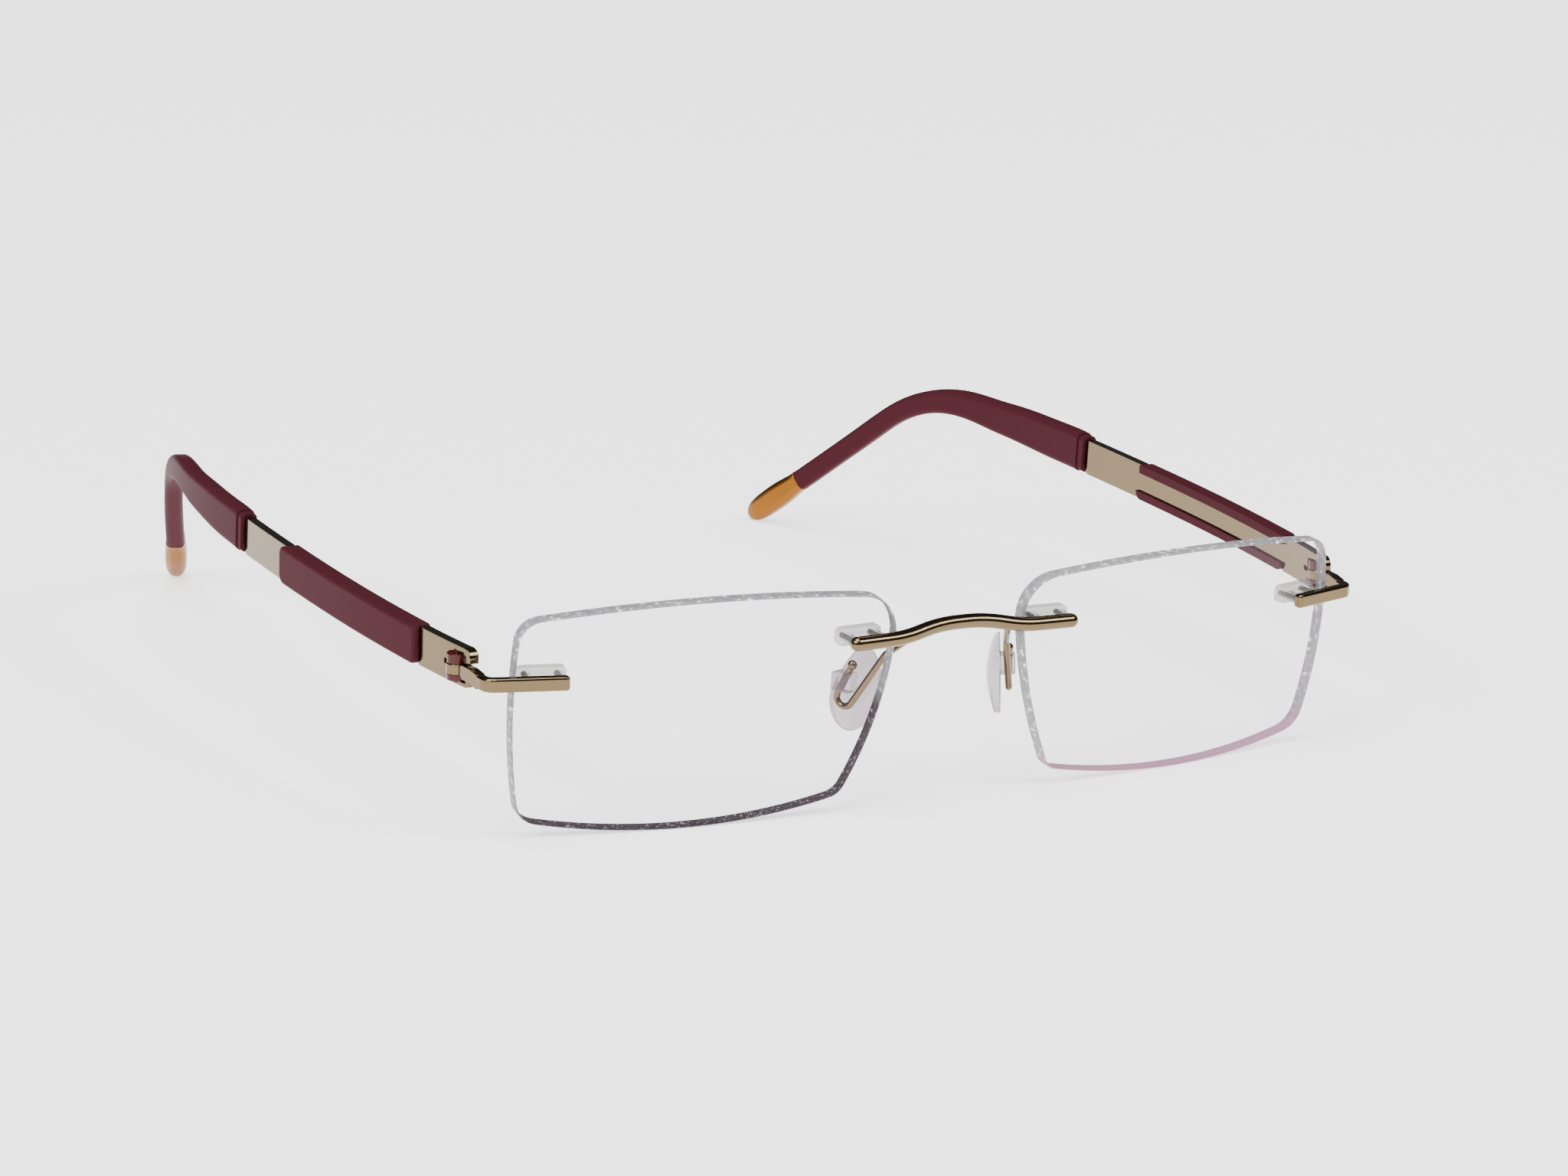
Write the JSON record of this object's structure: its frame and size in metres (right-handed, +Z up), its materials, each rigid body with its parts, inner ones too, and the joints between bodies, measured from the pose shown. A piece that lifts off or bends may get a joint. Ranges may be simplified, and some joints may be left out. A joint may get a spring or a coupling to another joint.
{
  "type": "rimless eyeglasses",
  "caption": "Rimless eyeglasses: bare lenses on drilled mounts, arched metal bridge, rocking nose pads, and temples that fold on roller hinges and bend down behind the ears.",
  "frame": {"origin": "centre of the bottom of the whole object's bounding box, with the temples open", "axes": "+X is the wearer's left, +Y runs back from the lenses to the ear tips, +Z is up; it stands on the lower lens edges and the tip caps"},
  "size_m": [0.1298, 0.1419, 0.0291],
  "materials": {
    "gold_metal": "polished champagne gold",
    "cap_gold": "satin warm gold",
    "lens_clear": "polished clear, fine-ground edge",
    "plug_clear": "clear moulded",
    "pad_silicone": "clear soft silicone",
    "maroon_plastic": "satin",
    "roller_brown": "gloss"
  },
  "bodies": {
    "front": {"bridge": "gold_metal", "lens_left": "lens_clear", "lens_right": "lens_clear", "nasal_plug_left": "plug_clear", "nasal_plug_right": "plug_clear", "temporal_plug_left": "plug_clear", "temporal_plug_right": "plug_clear", "pad_arm_left": "gold_metal", "pad_arm_right": "gold_metal", "endpiece_left": "gold_metal", "endpiece_right": "gold_metal"},
    "temple_left": {"temple_plate_left": "gold_metal", "temple_sleeve_left": "maroon_plastic", "temple_tip_left": "maroon_plastic", "tip_cap_left": "cap_gold", "hinge_roller_left": "roller_brown"},
    "temple_right": {"temple_plate_right": "gold_metal", "temple_sleeve_right": "maroon_plastic", "temple_tip_right": "maroon_plastic", "tip_cap_right": "cap_gold", "hinge_roller_right": "roller_brown"},
    "pad_left": {"nose_pad_left": "pad_silicone"},
    "pad_right": {"nose_pad_right": "pad_silicone"}
  },
  "joints": [
    {"name": "temple_left_fold", "type": "hinge", "parent": "front", "child": "temple_left", "pos_m": [0.0614, -0.05604, 0.02044], "axis": [0, 0, 1], "range_deg": [0, 82]},
    {"name": "temple_right_fold", "type": "hinge", "parent": "front", "child": "temple_right", "pos_m": [-0.0614, -0.05604, 0.02044], "axis": [0, 0, -1], "range_deg": [0, 58]},
    {"name": "pad_left_rock", "type": "hinge", "parent": "front", "child": "pad_left", "pos_m": [0.01217, -0.06066, 0.0134], "axis": [-0.2509, -0.3621, 0.8977], "range_deg": [-6, 6]},
    {"name": "pad_right_rock", "type": "hinge", "parent": "front", "child": "pad_right", "pos_m": [-0.01217, -0.06066, 0.0134], "axis": [-0.2509, 0.3621, -0.8977], "range_deg": [-6, 6]}
  ]
}
